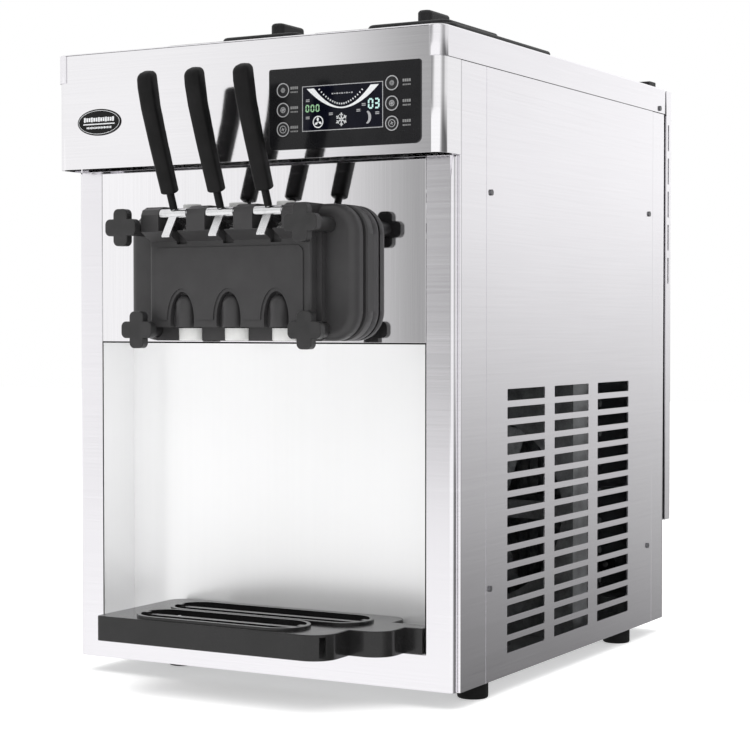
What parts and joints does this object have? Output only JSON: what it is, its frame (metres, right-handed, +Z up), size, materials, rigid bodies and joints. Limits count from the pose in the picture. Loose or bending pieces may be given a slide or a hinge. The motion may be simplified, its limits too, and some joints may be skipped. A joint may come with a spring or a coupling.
{
  "type": "soft serve machine",
  "caption": "Countertop soft serve machine: stainless cabinet with overhanging head, pull handles over a dispensing head, hoppers with lids, drip tray and side louvres.",
  "frame": {"origin": "on the surface the feet stand on, under the middle of the whole machine's box", "axes": "+Z up, -Y towards the person who serves, +X to that person's right"},
  "size_m": [0.5468, 0.8304, 0.8392],
  "materials": {
    "stainless": "brushed, satin",
    "polished_steel": "bright polished",
    "bare_steel": "turned and ground",
    "zinc_steel": "zinc plated",
    "head_plastic": "satin moulded",
    "grip_plastic": "satin moulded",
    "tray_plastic": "satin moulded",
    "lid_plastic": "satin moulded",
    "panel_gloss": "gloss",
    "display_glass": "gloss, lit symbols",
    "button_plastic": "gloss with a ring",
    "badge_black": "gloss",
    "rubber": "matt",
    "white_plastic": "satin",
    "motor_paint": "satin paint",
    "black_paint": "satin paint",
    "cast_aluminium": "cast",
    "fin_aluminium": "sheet",
    "pulley_iron": "machined"
  },
  "bodies": {
    "cabinet": {"base_pan": "zinc_steel", "feet": "rubber", "chassis_frame": "zinc_steel", "front_frame": "stainless", "front_plate": "polished_steel", "bay_liner": "polished_steel", "side_panel_left": "stainless", "side_panel_right": "stainless", "rear_panel": "stainless", "rear_vent_cover": "stainless", "head_shell": "stainless", "top_cover": "stainless", "rear_trim": "lid_plastic", "control_panel": "panel_gloss", "display_window": "display_glass", "badge_plate": "badge_black", "hoppers": "bare_steel", "air_tubes": "white_plastic", "cylinder_flange": "head_plastic", "dispensing_head": "head_plastic", "head_studs": "bare_steel", "nozzle_caps": "white_plastic", "pivot_pin": "bare_steel", "freezing_barrels": "bare_steel", "gearboxes": "cast_aluminium", "drive_motor": "motor_paint", "drive_belts": "rubber", "compressor": "black_paint", "condenser": "fin_aluminium", "fan_shroud": "zinc_steel", "cord_gland": "rubber", "screws": "bare_steel"},
    "handle_left": {"lever_left": "bare_steel", "grip_left": "grip_plastic"},
    "piston_left": {"piston_left": "white_plastic"},
    "handle_centre": {"lever_centre": "bare_steel", "grip_centre": "grip_plastic"},
    "piston_centre": {"piston_centre": "white_plastic"},
    "handle_right": {"lever_right": "bare_steel", "grip_right": "grip_plastic"},
    "piston_right": {"piston_right": "white_plastic"},
    "knob_top_left": {"knob_top_left": "grip_plastic"},
    "knob_top_right": {"knob_top_right": "grip_plastic"},
    "knob_bottom_left": {"knob_bottom_left": "grip_plastic"},
    "knob_bottom_right": {"knob_bottom_right": "grip_plastic"},
    "lid_left": {"lid_left": "lid_plastic"},
    "lid_right": {"lid_right": "lid_plastic"},
    "drip_tray": {"drip_tray": "tray_plastic"},
    "button_left_1": {"button_left_1": "button_plastic"},
    "button_left_2": {"button_left_2": "button_plastic"},
    "button_left_3": {"button_left_3": "button_plastic"},
    "button_right_1": {"button_right_1": "button_plastic"},
    "button_right_2": {"button_right_2": "button_plastic"},
    "button_right_3": {"button_right_3": "button_plastic"},
    "beater_left": {"beater_left": "white_plastic"},
    "gearbox_pulley_left": {"gearbox_pulley_left": "pulley_iron"},
    "beater_right": {"beater_right": "white_plastic"},
    "gearbox_pulley_right": {"gearbox_pulley_right": "pulley_iron"},
    "motor_rotor": {"motor_pulley": "pulley_iron"},
    "condenser_fan": {"condenser_fan": "fin_aluminium"}
  },
  "joints": [
    {"name": "handle_left_pull", "type": "hinge", "parent": "cabinet", "child": "handle_left", "pos_m": [-0.066, -0.3508, 0.571], "axis": [1, 0, 0], "range_deg": [0, 50]},
    {"name": "piston_left_lift", "type": "slide", "parent": "cabinet", "child": "piston_left", "axis": [0, 0, 1], "range_m": [0, 0.0256]},
    {"name": "handle_centre_pull", "type": "hinge", "parent": "cabinet", "child": "handle_centre", "pos_m": [0, -0.3508, 0.571], "axis": [1, 0, 0], "range_deg": [0, 50]},
    {"name": "piston_centre_lift", "type": "slide", "parent": "cabinet", "child": "piston_centre", "axis": [0, 0, 1], "range_m": [0, 0.0256]},
    {"name": "handle_right_pull", "type": "hinge", "parent": "cabinet", "child": "handle_right", "pos_m": [0.066, -0.3508, 0.571], "axis": [1, 0, 0], "range_deg": [0, 50]},
    {"name": "piston_right_lift", "type": "slide", "parent": "cabinet", "child": "piston_right", "axis": [0, 0, 1], "range_m": [0, 0.0256]},
    {"name": "knob_top_left_turn", "type": "hinge", "parent": "cabinet", "child": "knob_top_left", "pos_m": [-0.1245, -0.3748, 0.555], "axis": [0, 1, 0], "continuous": true},
    {"name": "knob_top_right_turn", "type": "hinge", "parent": "cabinet", "child": "knob_top_right", "pos_m": [0.1245, -0.3748, 0.555], "axis": [0, 1, 0], "continuous": true},
    {"name": "knob_bottom_left_turn", "type": "hinge", "parent": "cabinet", "child": "knob_bottom_left", "pos_m": [-0.117, -0.3538, 0.434], "axis": [0, 1, 0], "continuous": true},
    {"name": "knob_bottom_right_turn", "type": "hinge", "parent": "cabinet", "child": "knob_bottom_right", "pos_m": [0.117, -0.3538, 0.434], "axis": [0, 1, 0], "continuous": true},
    {"name": "lid_left_lift", "type": "slide", "parent": "cabinet", "child": "lid_left", "axis": [0, 0, 1], "range_m": [0, 0.15]},
    {"name": "lid_right_lift", "type": "slide", "parent": "cabinet", "child": "lid_right", "axis": [0, 0, 1], "range_m": [0, 0.15]},
    {"name": "drip_tray_slide", "type": "slide", "parent": "cabinet", "child": "drip_tray", "axis": [0, -1, 0], "range_m": [0, 0.12]},
    {"name": "button_left_1_press", "type": "slide", "parent": "cabinet", "child": "button_left_1", "axis": [0, 1, 0], "range_m": [0, 0.001], "stiffness_N_per_m": 400},
    {"name": "button_left_2_press", "type": "slide", "parent": "cabinet", "child": "button_left_2", "axis": [0, 1, 0], "range_m": [0, 0.001], "stiffness_N_per_m": 400},
    {"name": "button_left_3_press", "type": "slide", "parent": "cabinet", "child": "button_left_3", "axis": [0, 1, 0], "range_m": [0, 0.001], "stiffness_N_per_m": 400},
    {"name": "button_right_1_press", "type": "slide", "parent": "cabinet", "child": "button_right_1", "axis": [0, 1, 0], "range_m": [0, 0.001], "stiffness_N_per_m": 400},
    {"name": "button_right_2_press", "type": "slide", "parent": "cabinet", "child": "button_right_2", "axis": [0, 1, 0], "range_m": [0, 0.001], "stiffness_N_per_m": 400},
    {"name": "button_right_3_press", "type": "slide", "parent": "cabinet", "child": "button_right_3", "axis": [0, 1, 0], "range_m": [0, 0.001], "stiffness_N_per_m": 400},
    {"name": "beater_left_spin", "type": "hinge", "parent": "cabinet", "child": "beater_left", "pos_m": [-0.066, -0.1468, 0.5005], "axis": [0, 1, 0], "continuous": true},
    {"name": "gearbox_pulley_left_spin", "type": "hinge", "parent": "cabinet", "child": "gearbox_pulley_left", "pos_m": [-0.066, 0.0632, 0.5005], "axis": [0, 1, 0], "continuous": true},
    {"name": "beater_right_spin", "type": "hinge", "parent": "cabinet", "child": "beater_right", "pos_m": [0.066, -0.1468, 0.5005], "axis": [0, 1, 0], "continuous": true},
    {"name": "gearbox_pulley_right_spin", "type": "hinge", "parent": "cabinet", "child": "gearbox_pulley_right", "pos_m": [0.066, 0.0632, 0.5005], "axis": [0, 1, 0], "continuous": true},
    {"name": "motor_spin", "type": "hinge", "parent": "cabinet", "child": "motor_rotor", "pos_m": [-0.12, 0.0632, 0.3], "axis": [0, 1, 0], "continuous": true},
    {"name": "condenser_fan_spin", "type": "hinge", "parent": "cabinet", "child": "condenser_fan", "pos_m": [0.1, 0.1432, 0.192], "axis": [0, 1, 0], "continuous": true}
  ],
  "couplings": [
    {"joint": "piston_left_lift", "follows": "handle_left_pull", "m_per_rad": 0.029057},
    {"joint": "piston_centre_lift", "follows": "handle_centre_pull", "m_per_rad": 0.029057},
    {"joint": "piston_right_lift", "follows": "handle_right_pull", "m_per_rad": 0.029057},
    {"joint": "beater_right_spin", "follows": "beater_left_spin", "ratio": 1},
    {"joint": "gearbox_pulley_left_spin", "follows": "beater_left_spin", "ratio": 4},
    {"joint": "gearbox_pulley_right_spin", "follows": "beater_left_spin", "ratio": 4},
    {"joint": "motor_spin", "follows": "beater_left_spin", "ratio": 7.8095}
  ]
}
